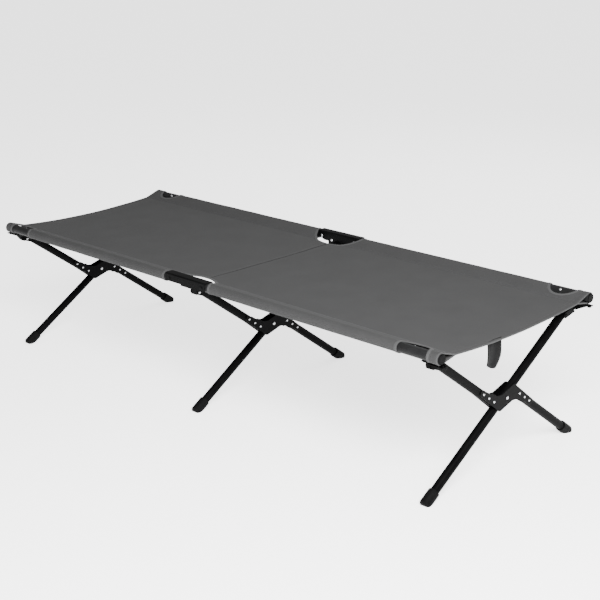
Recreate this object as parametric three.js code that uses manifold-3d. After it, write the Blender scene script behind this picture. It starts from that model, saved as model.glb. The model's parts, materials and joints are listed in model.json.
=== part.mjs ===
// Folding cot: a cloth bed on two tube rails, carried by three crossed leg sets.
// Millimetres, +Z up, +X along the bed. The origin is on the floor under the middle of the cot.
// Every piece is one closed solid in its own mesh. Pieces that touch keep a gap of about 0.3 mm.

import * as THREE from 'three';
import { mergeVertices } from 'three/addons/utils/BufferGeometryUtils.js';
import Module from 'manifold-3d';

const wasm = await Module();
wasm.setup();

// ---------------------------------------------------------------- driving dimensions

const GAP = 0.3;                 // clearance between pieces that touch

// rails
const RAIL_Y = 327.5;            // rail centre line, from the middle of the cot
const RAIL_Z = 414;
const RAIL_R = 14;
const RAIL_WALL = 1.5;
const RAIL_END = 947;            // where the tube ends; the cap adds the rest
const CAP_END = 950;
const FOLD_X = 72;               // fold pins of the middle joint
const FOLD_PIN_R = 3.5;
const FOLD_HEAD = 1.6;
const FOLD_HEAD_R = 5.5;
const RAIL_START = FOLD_X - 14;

// middle joint channel
const CHANNEL_HALF_LENGTH = 89;
const CHANNEL_INNER = 14.4;      // half width inside
const CHANNEL_WALL = 1.6;
const CHANNEL_TOP = RAIL_Z + 16.4;
const CHANNEL_BOTTOM = 400;
const CHANNEL_LIP = 406;         // lower edge of its outer wall
const CHANNEL_ROUND = 4.5;       // radius of its upper edges
const APRON_X = [-44, 56];       // the wall towards the bed reaches lower here, on the far side of the cot
const APRON_BOTTOM = 387;
const CORNER_X = 60;             // the same wall's lower corners are cut from here
const CORNER_TOP = [6, 4];       // up to this far in from its end and below the fold axis
const BLOCK_HALF = 7.5;          // of the block that the middle legs hang from
const RAIL_TIP_R = 13.2;         // the rail's inner end is rounded about the fold pin

// crossed legs
const SET_X = 898;               // end leg sets; the third stands at x = 0
const LEG_R = 12.5;
const LEG_WALL = 1.5;
const PIVOT_Z = 205;             // where the legs of a set cross
const HINGE_Y = 302.5;           // leg hinges under the rails
const HINGE_Z = 379.5;
const SPLIT_ANGLE = Math.atan2(-0.6, 0.8);    // split leg, falling from the near rail to the far foot
const STRAIGHT_ANGLE = Math.atan(0.63);       // straight leg, rising from the near foot to the far rail
const SPLIT_OFFSET = 30.7;       // the two tubes of the split leg lie this far off its line
const SPLIT_START = 35;
const LEG_LOW_END = 353;         // tube end inside the foot cap, from the crossing
const SPLIT_HIGH_END = 324;
const STRAIGHT_HIGH_END = 326;
const YOKE_RIVET_INSET = 14;     // yoke rivet, from the tube's upper end

// plates, yokes and rivets beside the leg tubes
const PLATE_IN = LEG_R + GAP;
const PLATE_OUT = PLATE_IN + 2.5;
const HEAD_OUT = PLATE_OUT + 2.2;
const PIVOT_R = 3.5;
const PIVOT_HEAD_R = 5;
const HINGE_PIN_R = 3;
const YOKE_END_R = 8.5;
const YOKE_RIVET_R = 2.5;
const HEAD_R = 5.5;

// rubber feet
const FOOT_R = 16;
const FOOT_TOP = 336;            // open end of the cap, from the crossing
const FOOT_TIP = 386;
const FOOT_BEVEL = 5;

// hangers and swivels of the end leg sets
const SADDLE_HALF = 12;
const SADDLE_Z = [395.4, 398.2];
const PAD_HALF = 6;              // small pad between saddle and rail
const PAD_TOP = 399.7;
const SADDLE_OUT = 331;
const EAR_Y = [313, 315.5];
const EAR_LOW = [[890, 374], [912, 375.5], [950, 394]]; // its lower edge, out to the rail's end
const STRIP_X = [906, 955];
const STRIP_Y = [315, 333];
const STRIP_Z = [391.6, 394.1];
const BOLT = [948, 324];
const BOLT_Z = [388, 397];
const BOLT_R = 3.5;
const BOLT_HEAD_R = 5.5;
const SWIVEL_Y = [293, 312.6];
const SWIVEL_HALF = [12.5, 7.5]; // half size along X and Z
const SWIVEL_HEAD_R = 5.5;

// cloth
const CLOTH_END = 945;
const SEAM_Y = 270;              // where each rail sleeve is sewn to the bed
const SEAM_Z = 411;
const PANEL_SAG = 3;
const END_SAG = 9;               // further sag at the free ends
const END_SAG_FROM = 550;
const PANEL_THICK = 3;
const SLEEVE_THICK = 1.2;
const SLEEVE_R = RAIL_R + GAP + SLEEVE_THICK;
const CUT_OUT = 20;              // the openings are half ellipses centred this far outside the rail
const MID_CUT = [99, 90];        // half length and half width of the ellipses
const END_CUT = [49, 57];
const END_CUT_X = 862;
const STRAP_X = [933, 936];
const STRAP_OUTLINE = [[-126, 398], [-126, 338], [-90, 321], [-74, 335], [-68, 360], [-68, 398]];

// ---------------------------------------------------------------- materials

const paint = (color, roughness, metalness) =>
  new THREE.MeshStandardMaterial({ color, roughness, metalness });
const FRAME_BLACK = paint(0x1e1f21, 0.42, 0.6);
const BRACKET_BLACK = paint(0x232426, 0.5, 0.6);
const ZINC = paint(0xb9bbbe, 0.3, 1);
const PLASTIC_BLACK = paint(0x17181a, 0.55, 0);
const RUBBER_BLACK = paint(0x1b1c1e, 0.8, 0);
const CLOTH_GREY = paint(0x4a4b4d, 0.9, 0);
const WEBBING_BLACK = paint(0x2b2c2e, 0.85, 0);

// ---------------------------------------------------------------- solids

// A closed three.js geometry as a solid that can be cut and joined.
function solid(geometry) {
  const plain = geometry.index ? geometry.toNonIndexed() : geometry.clone();
  plain.deleteAttribute('normal');
  plain.deleteAttribute('uv');
  const merged = mergeVertices(plain, 1e-4);
  const vertProperties = new Float32Array(merged.attributes.position.array);
  const triVerts = new Uint32Array(merged.index.array);
  return new wasm.Manifold(new wasm.Mesh({ numProp: 3, vertProperties, triVerts }));
}

function toGeometry(body) {
  const { vertProperties, triVerts } = body.getMesh();
  const geometry = new THREE.BufferGeometry();
  geometry.setAttribute('position', new THREE.BufferAttribute(new Float32Array(vertProperties), 3));
  geometry.setIndex(new THREE.BufferAttribute(new Uint32Array(triVerts), 1));
  const flat = geometry.toNonIndexed();
  flat.computeVertexNormals();
  return flat;
}

// A box from its lowest to its highest corner, given as ranges in either order.
function box(xs, ys, zs) {
  const [low, high] = [Math.min, Math.max].map((pick) => [xs, ys, zs].map((pair) => pick(...pair)));
  const geometry = new THREE.BoxGeometry(high[0] - low[0], high[1] - low[1], high[2] - low[2]);
  geometry.translate((low[0] + high[0]) / 2, (low[1] + high[1]) / 2, (low[2] + high[2]) / 2);
  return solid(geometry);
}

// A solid turned from a closed profile of [radius, height] points, laid from point `from` along `direction`.
function turned(profile, from, direction, sides = 20) {
  const points = profile.map(([radius, height]) => new THREE.Vector2(radius, height));
  const geometry = new THREE.LatheGeometry(points, sides);
  const up = new THREE.Vector3(0, 1, 0);
  const turn = new THREE.Quaternion().setFromUnitVectors(up, direction.clone().normalize());
  geometry.applyQuaternion(turn);
  geometry.translate(from.x, from.y, from.z);
  return solid(geometry);
}

// A round bar between two points.
function bar(from, to, radius, sides = 12) {
  const length = to.distanceTo(from);
  return turned([[0, 0], [radius, 0], [radius, length], [0, length]], from, to.clone().sub(from), sides);
}

// A hollow tube between two points.
function tube(from, to, radius, wall) {
  const length = to.distanceTo(from);
  const bore = radius - wall;
  const profile = [[bore, 0], [radius, 0], [radius, length], [bore, length], [bore, 0]];
  return turned(profile, from, to.clone().sub(from));
}

// A flat outline in the Y-Z plane, as a plate between two X positions.
function plate(shape, xs) {
  const options = { depth: xs[1] - xs[0], bevelEnabled: false, curveSegments: 6 };
  const geometry = new THREE.ExtrudeGeometry(shape, options);
  const turn = new THREE.Matrix4().makeBasis(
    new THREE.Vector3(0, 1, 0), new THREE.Vector3(0, 0, 1), new THREE.Vector3(1, 0, 0));
  geometry.applyMatrix4(turn);
  geometry.translate(xs[0], 0, 0);
  return solid(geometry);
}

// A flat outline in the X-Z plane, as a plate between two Y positions.
function uprightPlate(shape, [low, high]) {
  const geometry = new THREE.ExtrudeGeometry(shape, { depth: high - low, bevelEnabled: false });
  const turn = new THREE.Matrix4().makeBasis(
    new THREE.Vector3(1, 0, 0), new THREE.Vector3(0, 0, 1), new THREE.Vector3(0, -1, 0));
  geometry.applyMatrix4(turn);
  geometry.translate(0, high, 0);
  return solid(geometry);
}

const join = (bodies) => bodies.reduce((sum, body) => sum.add(body));
const at = (x, y, z) => new THREE.Vector3(x, y, z);

const cot = new THREE.Group();

function addMesh(group, name, body, material) {
  const mesh = new THREE.Mesh(toGeometry(body), material);
  mesh.name = name;
  group.add(mesh);
}

const SIDES = [['near', -1], ['far', 1]];
const ENDS = [['left', -1], ['right', 1]];

// ---------------------------------------------------------------- rails and middle joint

function railHalf(end) {
  const rail = tube(at(end * RAIL_START, 0, 0), at(end * RAIL_END, 0, 0), RAIL_R, RAIL_WALL);
  const reach = RAIL_R + 1;
  const x = end * FOLD_X;
  const acrossPin = (radius, sides) => bar(at(x, -reach, 0), at(x, reach, 0), radius, sides);
  const squareTip = box([end * (RAIL_START - 1), x], [-reach, reach], [-reach, reach]);
  const tipWaste = squareTip.subtract(acrossPin(RAIL_TIP_R, 32));
  return rail.subtract(tipWaste).subtract(acrossPin(FOLD_PIN_R + GAP, 12));
}

function railCap(end) {
  const plugR = RAIL_R - RAIL_WALL - GAP;
  const rim = CAP_END - RAIL_END - GAP;
  const profile = [[0, 0], [RAIL_R, 0], [RAIL_R, -rim * 0.4], [RAIL_R - 1.4, -rim], [0, -rim]].reverse();
  const face = at(end * (RAIL_END + GAP), 0, 0);
  const rimDisc = turned(profile, face, at(-end, 0, 0));
  const plug = bar(at(end * (RAIL_END - 14), 0, 0), at(end * (RAIL_END + 1), 0, 0), plugR, 24);
  return rimDisc.add(plug);
}

// Upright outline of a bar with rounded upper edges, centred on the rail's own axis.
function archOutline(half, bottom, top, round) {
  const shape = new THREE.Shape();
  shape.moveTo(-half, bottom);
  shape.lineTo(half, bottom);
  shape.absarc(half - round, top - round, round, 0, Math.PI / 2, false);
  shape.absarc(-half + round, top - round, round, Math.PI / 2, Math.PI, false);
  return shape;
}

// Inverted U over the inner ends of both rail halves, with the block that the middle legs hang from.
// `side` points away from the middle of the cot.
function channel(side) {
  const outer = CHANNEL_INNER + CHANNEL_WALL;
  const top = CHANNEL_TOP - RAIL_Z;
  const bottom = CHANNEL_BOTTOM - RAIL_Z;
  const half = CHANNEL_HALF_LENGTH;
  const outside = archOutline(outer, bottom, top, CHANNEL_ROUND);
  const inside = archOutline(CHANNEL_INNER, bottom - 1, top - CHANNEL_WALL, CHANNEL_ROUND - CHANNEL_WALL);
  const shell = plate(outside, [-half, half]).subtract(plate(inside, [-half - 1, half + 1]));
  const hingeY = side * (HINGE_Y - RAIL_Y);
  const hingeZ = HINGE_Z - RAIL_Z;
  const blockTop = bottom + 3;
  const blockY = [hingeY - BLOCK_HALF, hingeY + BLOCK_HALF];
  const block = box([-LEG_R, LEG_R], blockY, [hingeZ - BLOCK_HALF, blockTop]);
  const web = box([-LEG_R, LEG_R], [hingeY, -side * (CHANNEL_INNER + 0.5)], [bottom, blockTop]);
  const wallY = [-side * outer, -side * CHANNEL_INNER];
  const apron = box(APRON_X.map((x) => side * x), wallY, [APRON_BOTTOM - RAIL_Z, bottom + 1]);
  const belowLip = box([-half - 1, half + 1], [side * (CHANNEL_INNER - 1), side * (outer + 1)],
    [bottom - 1, CHANNEL_LIP - RAIL_Z]);
  let body = join([shell, block, web, apron]).subtract(belowLip);
  const wasteY = [-side * (outer + 1), -side * (CHANNEL_INNER - 1)].sort((a, b) => a - b);
  for (const end of [-1, 1]) {
    const x = end * FOLD_X;
    const [inset, drop] = CORNER_TOP;
    const [low, out] = [bottom - 1, half + 1];
    const corner = [[CORNER_X, low], [out, low], [out, -drop], [half - inset, -drop]];
    const shape = new THREE.Shape(corner.map(([cx, cz]) => new THREE.Vector2(end * cx, cz)));
    body = body.subtract(uprightPlate(shape, wasteY));
    body = body.subtract(bar(at(x, -30, 0), at(x, 30, 0), FOLD_PIN_R + GAP));
  }
  return body.subtract(bar(at(-30, hingeY, hingeZ), at(30, hingeY, hingeZ), HINGE_PIN_R + GAP));
}

// A headed pin along Y through the channel and the rail.
function foldPin(end) {
  const half = CHANNEL_INNER + CHANNEL_WALL + GAP;
  const [head, rim, top] = [half + FOLD_HEAD * 0.4, FOLD_HEAD_R, half + FOLD_HEAD];
  const profile = [
    [0, -top], [rim - 1.5, -top], [rim, -head], [rim, -half], [FOLD_PIN_R, -half],
    [FOLD_PIN_R, half], [rim, half], [rim, head], [rim - 1.5, top], [0, top],
  ];
  return turned(profile, at(end * FOLD_X, 0, 0), at(0, 1, 0), 12);
}

for (const [sideName, side] of SIDES) {
  const railGroup = new THREE.Group();
  railGroup.position.set(0, side * RAIL_Y, RAIL_Z);
  cot.add(railGroup);
  addMesh(railGroup, `${sideName}_channel`, channel(side), BRACKET_BLACK);
  for (const [endName, end] of ENDS) {
    addMesh(railGroup, `${sideName}_rail_${endName}`, railHalf(end), FRAME_BLACK);
    addMesh(railGroup, `${sideName}_rail_cap_${endName}`, railCap(end), PLASTIC_BLACK);
    addMesh(railGroup, `${sideName}_fold_pin_${endName}`, foldPin(end), BRACKET_BLACK);
  }
}

// ---------------------------------------------------------------- end hangers and swivels

// Bracket under the rail: a saddle, an ear for the swivel's pin that runs out to the rail's end,
// and a flange along the ear's outer part with a bolt through it.
function hanger(side, end) {
  const acrossY = ([a, b]) => [side * a, side * b];
  const onBoth = (x, half) => [end * (x - half), end * (x + half)];
  const outline = [...EAR_LOW, [EAR_LOW[2][0], SADDLE_Z[1]], [EAR_LOW[0][0], SADDLE_Z[1]]];
  const shape = new THREE.Shape(outline.map(([x, z]) => new THREE.Vector2(end * x, z)));
  const pieces = [
    uprightPlate(shape, acrossY(EAR_Y).sort((a, b) => a - b)),
    box(onBoth(SET_X, SADDLE_HALF), acrossY([EAR_Y[0], SADDLE_OUT]), SADDLE_Z),
    box(onBoth(SET_X, PAD_HALF), acrossY([RAIL_Y - PAD_HALF, RAIL_Y + PAD_HALF]), [SADDLE_Z[0], PAD_TOP]),
    box(STRIP_X.map((x) => end * x), acrossY(STRIP_Y), STRIP_Z),
  ];
  const boltAt = (z) => at(end * BOLT[0], side * BOLT[1], z);
  pieces.push(bar(boltAt(STRIP_Z[0]), boltAt(BOLT_Z[1]), BOLT_R, 8));
  pieces.push(bar(boltAt(BOLT_Z[0]), boltAt(STRIP_Z[0]), BOLT_HEAD_R, 6));
  const pinAt = (y) => at(end * SET_X, side * y, HINGE_Z);
  return join(pieces).subtract(bar(pinAt(EAR_Y[0] - 1), pinAt(EAR_Y[1] + 1), HINGE_PIN_R + GAP));
}

// Block between the hanger's ear and the yoke: it turns in the ear about Y, and the legs turn in it about X.
function swivel(side, end) {
  const x = end * SET_X;
  const [halfX, halfZ] = SWIVEL_HALF;
  const heights = [HINGE_Z - halfZ, HINGE_Z + halfZ];
  const block = box([x - halfX, x + halfX], SWIVEL_Y.map((y) => side * y), heights);
  const pinAt = (y, dx = 0) => at(x + dx, side * y, HINGE_Z);
  const stub = bar(pinAt(SWIVEL_Y[1] - 1), pinAt(EAR_Y[1] + 1), HINGE_PIN_R);
  const head = bar(pinAt(EAR_Y[1] + GAP), pinAt(EAR_Y[1] + 2.5), SWIVEL_HEAD_R);
  const bore = bar(pinAt(HINGE_Y, -halfX - 1), pinAt(HINGE_Y, halfX + 1), HINGE_PIN_R + GAP);
  return join([block, stub, head]).subtract(bore);
}

for (const [sideName, side] of SIDES) {
  for (const [endName, end] of ENDS) {
    addMesh(cot, `${sideName}_hanger_${endName}`, hanger(side, end), BRACKET_BLACK);
    addMesh(cot, `${sideName}_swivel_${endName}`, swivel(side, end), BRACKET_BLACK);
  }
}

// ---------------------------------------------------------------- crossed legs

// Local axes of a leg: `along` runs down the leg's line through the crossing, `off` is square to it.
function legFrame(angle) {
  const along = at(0, Math.cos(angle), Math.sin(angle));
  const off = at(0, -Math.sin(angle), Math.cos(angle));
  const place = (s, n, x = 0) => at(x, 0, 0).addScaledVector(along, s).addScaledVector(off, n);
  return { along, off, place };
}

const split = legFrame(SPLIT_ANGLE);
const straight = legFrame(STRAIGHT_ANGLE);
const cross = (place, s, n, radius, half) => bar(place(s, n, -half), place(s, n, half), radius);

function splitUpper() {
  const low = split.place(-SPLIT_START, -SPLIT_OFFSET);
  const high = split.place(-SPLIT_HIGH_END, -SPLIT_OFFSET);
  const body = tube(low, high, LEG_R, LEG_WALL);
  const rivetAt = -SPLIT_HIGH_END + YOKE_RIVET_INSET;
  return body.subtract(cross(split.place, rivetAt, -SPLIT_OFFSET, YOKE_RIVET_R + GAP, 20));
}

function splitLower() {
  const high = split.place(SPLIT_START, SPLIT_OFFSET);
  return tube(high, split.place(LEG_LOW_END, SPLIT_OFFSET), LEG_R, LEG_WALL);
}

function straightLeg() {
  const body = tube(straight.place(-LEG_LOW_END, 0), straight.place(STRAIGHT_HIGH_END, 0), LEG_R, LEG_WALL);
  const rivetAt = STRAIGHT_HIGH_END - YOKE_RIVET_INSET;
  return body
    .subtract(cross(straight.place, 0, 0, PIVOT_R + GAP, 20))
    .subtract(cross(straight.place, rivetAt, 0, YOKE_RIVET_R + GAP, 20));
}

// S-shaped plate that joins the two tubes of the split leg across the crossing.
// Half of its outline, in the leg's own axes; the other half is the same turned half a turn.
const PLATE_HALF_OUTLINE = [
  [-118, -40], [-122, -35.5], [-122, -26], [-118, -21.5], [-82, -19], [-75, -14], [-46, -12.5], [-30, -3],
  [-2, 34], [3, 41], [10, 44.5],
];

function joiningPlate(xs) {
  const outline = [...PLATE_HALF_OUTLINE, ...PLATE_HALF_OUTLINE.map(([s, n]) => [-s, -n])];
  const corners = outline.map(([s, n]) => {
    const point = split.place(s, n);
    return new THREE.Vector2(point.y, point.z);
  });
  const hole = cross(split.place, 0, 0, PIVOT_R + GAP, 20);
  return plate(new THREE.Shape(corners), xs).subtract(hole);
}

function pivotRivet() {
  const seat = PLATE_OUT + GAP;
  const top = PIVOT_HEAD_R * 0.6;
  const profile = [
    [0, -HEAD_OUT], [top, -HEAD_OUT], [PIVOT_HEAD_R, -seat - 0.5], [PIVOT_HEAD_R, -seat], [PIVOT_R, -seat],
    [PIVOT_R, seat], [PIVOT_HEAD_R, seat], [PIVOT_HEAD_R, seat + 0.5], [top, HEAD_OUT], [0, HEAD_OUT],
  ];
  return turned(profile, at(0, 0, 0), at(1, 0, 0), 14);
}

// Two straps on either side of a leg's upper end, with the hinge pin and the rivet through the tube.
function yoke(place, rivet, hinge) {
  const [from, to] = [place(...rivet), hinge];
  const lean = Math.atan2(to.z - from.z, to.y - from.y);
  const quarter = Math.PI / 2;
  const shape = new THREE.Shape();
  shape.absarc(to.y, to.z, YOKE_END_R, lean - quarter, lean + quarter, false);
  shape.absarc(from.y, from.z, YOKE_END_R, lean + quarter, lean + 3 * quarter, false);
  const pieces = [plate(shape, [PLATE_IN, PLATE_OUT]), plate(shape, [-PLATE_OUT, -PLATE_IN])];
  const across = ({ y, z }, radius, half) => bar(at(-half, y, z), at(half, y, z), radius);
  pieces.push(across(to, HINGE_PIN_R, HEAD_OUT - 0.5), across(from, YOKE_RIVET_R, HEAD_OUT - 0.5));
  const headHeight = HEAD_OUT - PLATE_OUT + 0.2;
  const head = [[0, 0], [HEAD_R, 0], [HEAD_R * 0.6, headHeight], [0, headHeight]];
  for (const end of [-1, 1]) {
    for (const point of [from, to]) {
      const seat = at(end * (PLATE_OUT - 0.2), point.y, point.z);
      pieces.push(turned(head, seat, at(end, 0, 0), 10));
    }
  }
  return join(pieces);
}

// Rubber cap on a leg's lower end, cut flat where it stands on the floor. `sign` is the way down the leg.
function foot(leg, sign, offset) {
  const length = FOOT_TIP - FOOT_TOP;
  const socket = LEG_LOW_END + GAP - FOOT_TOP;
  const bore = LEG_R + GAP;
  const profile = [
    [0, socket], [bore, socket], [bore, 0], [FOOT_R - 1, 0], [FOOT_R, 2],
    [FOOT_R, length - FOOT_BEVEL], [FOOT_R - FOOT_BEVEL, length], [0, length],
  ];
  const direction = leg.along.clone().multiplyScalar(sign);
  const cap = turned(profile, leg.place(sign * FOOT_TOP, offset), direction);
  return cap.subtract(box([-50, 50], [-600, 600], [-PIVOT_Z - 80, -PIVOT_Z]));
}

const hingeNear = at(0, -HINGE_Y, HINGE_Z - PIVOT_Z);
const hingeFar = at(0, HINGE_Y, HINGE_Z - PIVOT_Z);

for (const [setName, x] of [['left', -SET_X], ['middle', 0], ['right', SET_X]]) {
  const legSet = new THREE.Group();
  legSet.position.set(x, 0, PIVOT_Z);
  cot.add(legSet);
  const splitRivet = [-SPLIT_HIGH_END + YOKE_RIVET_INSET, -SPLIT_OFFSET];
  const straightRivet = [STRAIGHT_HIGH_END - YOKE_RIVET_INSET, 0];
  addMesh(legSet, `${setName}_split_leg_upper`, splitUpper(), FRAME_BLACK);
  addMesh(legSet, `${setName}_split_leg_lower`, splitLower(), FRAME_BLACK);
  addMesh(legSet, `${setName}_straight_leg`, straightLeg(), FRAME_BLACK);
  addMesh(legSet, `${setName}_plate_right`, joiningPlate([PLATE_IN, PLATE_OUT]), BRACKET_BLACK);
  addMesh(legSet, `${setName}_plate_left`, joiningPlate([-PLATE_OUT, -PLATE_IN]), BRACKET_BLACK);
  addMesh(legSet, `${setName}_pivot_rivet`, pivotRivet(), ZINC);
  addMesh(legSet, `${setName}_yoke_near`, yoke(split.place, splitRivet, hingeNear), BRACKET_BLACK);
  addMesh(legSet, `${setName}_yoke_far`, yoke(straight.place, straightRivet, hingeFar), BRACKET_BLACK);
  addMesh(legSet, `${setName}_foot_far`, foot(split, 1, SPLIT_OFFSET), RUBBER_BLACK);
  addMesh(legSet, `${setName}_foot_near`, foot(straight, -1, 0), RUBBER_BLACK);
}

// ---------------------------------------------------------------- cloth

// Height of the top of the cloth: nearly flat between the seams, lower towards its free ends.
function clothTop(x, y) {
  const share = Math.max(0, (Math.abs(x) - END_SAG_FROM) / (CLOTH_END - END_SAG_FROM));
  const sag = PANEL_SAG + END_SAG * share * share;
  return SEAM_Z + PANEL_THICK / 2 - sag * (1 - (y / SEAM_Y) ** 2);
}

// Ellipse standing through the cloth: an opening beside a rail.
function opening(x, y, halfLength, depth) {
  const shape = new THREE.Shape();
  shape.absellipse(x, y, halfLength, depth, 0, 2 * Math.PI, false);
  const geometry = new THREE.ExtrudeGeometry(shape, { depth: 100, bevelEnabled: false, curveSegments: 12 });
  geometry.translate(0, 0, RAIL_Z - 50);
  return solid(geometry);
}

// Sheet of the bed between two X positions, cut out where the middle openings are.
function panel(from, to) {
  const along = 14;
  const across = 12;
  const reach = SEAM_Y - GAP;
  const positions = [];
  for (const drop of [0, PANEL_THICK]) {
    for (let i = 0; i <= along; i += 1) {
      for (let j = 0; j <= across; j += 1) {
        const [x, y] = [from + (to - from) * i / along, (2 * j / across - 1) * reach];
        positions.push(x, y, clothTop(x, y) - drop);
      }
    }
  }
  const layer = (along + 1) * (across + 1);
  const point = (i, j) => i * (across + 1) + j;
  const index = [];
  for (let i = 0; i < along; i += 1) {
    for (let j = 0; j < across; j += 1) {
      const [a, b, c, d] = [point(i, j), point(i + 1, j), point(i + 1, j + 1), point(i, j + 1)];
      index.push(a, b, c, a, c, d, layer + a, layer + c, layer + b, layer + a, layer + d, layer + c);
    }
  }
  const wall = (p, q) => index.push(layer + p, layer + q, q, layer + p, q, p);
  for (let i = 0; i < along; i += 1) {
    wall(point(i, 0), point(i + 1, 0));
    wall(point(i + 1, across), point(i, across));
  }
  for (let j = 0; j < across; j += 1) {
    wall(point(along, j), point(along, j + 1));
    wall(point(0, j + 1), point(0, j));
  }
  const geometry = new THREE.BufferGeometry();
  geometry.setAttribute('position', new THREE.Float32BufferAttribute(positions, 3));
  geometry.setIndex(index);
  const cut = (sheet, side) => sheet.subtract(opening(0, side * (RAIL_Y + CUT_OUT), ...MID_CUT));
  return [-1, 1].reduce(cut, solid(geometry));
}

// Outline of the cloth round a rail: an arc on the rail and two straight layers that meet at a point.
function sleeveOutline(side, radius, tipY) {
  const tip = new THREE.Vector2(tipY - RAIL_Y, SEAM_Z - RAIL_Z);
  const lean = Math.atan2(tip.y, tip.x);
  const open = Math.acos(radius / tip.length());
  const steps = 20;
  const points = [tip];
  for (let i = 0; i <= steps; i += 1) {
    const angle = lean + open + (2 * Math.PI - 2 * open) * i / steps;
    points.push(new THREE.Vector2(Math.cos(angle), Math.sin(angle)).multiplyScalar(radius));
  }
  const placed = points.map((p) => new THREE.Vector2(side * (RAIL_Y + p.x), RAIL_Z + p.y));
  return new THREE.Shape(side > 0 ? placed : placed.reverse());
}

// Cloth sleeve round a rail, from the middle opening to the end of the bed, cut out at the corner opening.
function sleeve(side, end) {
  const xs = [end * (FOLD_X + GAP), end * CLOTH_END].sort((a, b) => a - b);
  const outer = plate(sleeveOutline(side, SLEEVE_R, SEAM_Y), xs);
  const inner = plate(sleeveOutline(side, SLEEVE_R - SLEEVE_THICK, SEAM_Y + 5), [xs[0] - 1, xs[1] + 1]);
  return outer.subtract(inner)
    .subtract(opening(0, side * (RAIL_Y + CUT_OUT), ...MID_CUT))
    .subtract(opening(end * END_CUT_X, side * (RAIL_Y + CUT_OUT), ...END_CUT));
}

// Tie strap hanging from the right end of the cloth, cut slanting at its free end.
function strap() {
  return plate(new THREE.Shape(STRAP_OUTLINE.map(([y, z]) => new THREE.Vector2(y, z))), STRAP_X);
}

addMesh(cot, 'cloth_left', panel(-CLOTH_END, -FOLD_X - GAP), CLOTH_GREY);
addMesh(cot, 'cloth_middle', panel(-FOLD_X, FOLD_X), CLOTH_GREY);
addMesh(cot, 'cloth_right', panel(FOLD_X + GAP, CLOTH_END), CLOTH_GREY);
for (const [sideName, side] of SIDES) {
  for (const [endName, end] of ENDS) {
    addMesh(cot, `${sideName}_sleeve_${endName}`, sleeve(side, end), CLOTH_GREY);
  }
}
addMesh(cot, 'tie_strap', strap(), WEBBING_BLACK);

export default cot;
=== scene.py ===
"""Folding cot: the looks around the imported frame. Metres, +Z up, +X along the bed."""
import json
import math

import bmesh
import bpy
from mathutils import Matrix, Vector, noise


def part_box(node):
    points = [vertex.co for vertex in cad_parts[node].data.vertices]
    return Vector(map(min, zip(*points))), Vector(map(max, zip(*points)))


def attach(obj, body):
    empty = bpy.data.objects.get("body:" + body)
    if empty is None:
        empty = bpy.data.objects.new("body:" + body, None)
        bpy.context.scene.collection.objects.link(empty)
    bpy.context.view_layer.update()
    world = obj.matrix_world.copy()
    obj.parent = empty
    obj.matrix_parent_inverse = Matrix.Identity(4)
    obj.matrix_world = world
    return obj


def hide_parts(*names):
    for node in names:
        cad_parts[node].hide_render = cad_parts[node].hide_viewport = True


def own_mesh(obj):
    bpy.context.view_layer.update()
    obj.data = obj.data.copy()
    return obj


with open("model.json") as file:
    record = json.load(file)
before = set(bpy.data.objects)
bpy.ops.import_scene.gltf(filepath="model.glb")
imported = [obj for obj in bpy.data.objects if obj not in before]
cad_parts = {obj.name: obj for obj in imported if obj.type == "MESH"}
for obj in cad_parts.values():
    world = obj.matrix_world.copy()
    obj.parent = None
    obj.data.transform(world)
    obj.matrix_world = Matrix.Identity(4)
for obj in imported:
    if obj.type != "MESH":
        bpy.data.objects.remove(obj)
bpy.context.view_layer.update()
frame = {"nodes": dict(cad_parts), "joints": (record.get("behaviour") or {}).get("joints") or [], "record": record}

# ------------------------------------------------------------------ places, worked out from the frame

JOINT = {j["name"]: j for j in frame["joints"]}
SLOT_OF = {s["node"]: s["material_slot"] for s in frame["record"]["subparts"]}
FOLD_X = -JOINT["fold"]["pos_m"][0]
RAIL_Y = -JOINT["fold"]["pos_m"][1]
RAIL_Z = JOINT["fold"]["pos_m"][2]
SET_X = JOINT["right_swing"]["pos_m"][0]
PIVOT = Vector(JOINT["middle_cross"]["pos_m"])
HINGE_Y = -JOINT["scissor"]["pos_m"][1]
HINGE_Z = JOINT["scissor"]["pos_m"][2]
RAIL_R = (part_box("near_rail_right")[1].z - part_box("near_rail_right")[0].z) / 2
PLATE_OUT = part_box("middle_plate_right")[1].x
CLOTH_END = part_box("cloth_right")[1].x
SEAM_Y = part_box("cloth_right")[1].y + 0.0003     # where the sleeves are sewn to the bed
SEAM_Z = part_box("cloth_middle")[1].z - 0.0015

UP = Vector((0, 0, 1))
SIDES = (("near", -1), ("far", 1))
ENDS = (("left", -1), ("right", 1))
SETS = (("left", -SET_X), ("middle", 0.0), ("right", SET_X))

# leg lines through the crossing, in the Y-Z plane
SPLIT_LINE = Vector((0, 0.8, -0.6))
STRAIGHT_LINE = Vector((0, 1, 0.63)).normalized()

# tubes
WALL = 0.0015
LIP = 0.0005                         # small chamfer round both ends

# rivets
RAIL_RIVET_X = 0.8555
RAIL_RIVET_TILT = (0.766, 0.643)     # towards the bed and up
RIVET_SUNK = 0.0004
CHANNEL_RIVET = (0.0287, 0.4047)     # distance along X from the middle, and height
PIN_HEAD = 0.0019                    # from a fold pin's end back to just inside the channel's wall
PLATE_RIVETS = (0.049, 0.078, 0.107)   # distances from the crossing, along the split leg
PLATE_RIVET_OFF = 0.0307             # distance from the split leg's line
DOME = {                             # radius and height of the rivet heads
    "rail": (0.0042, 0.0018),
    "fold_pin": (0.0048, 0.0015),
    "channel": (0.0045, 0.0018),
    "plate": (0.0034, 0.0015),
    "yoke_pin": (0.0036, 0.0014),
}

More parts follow.
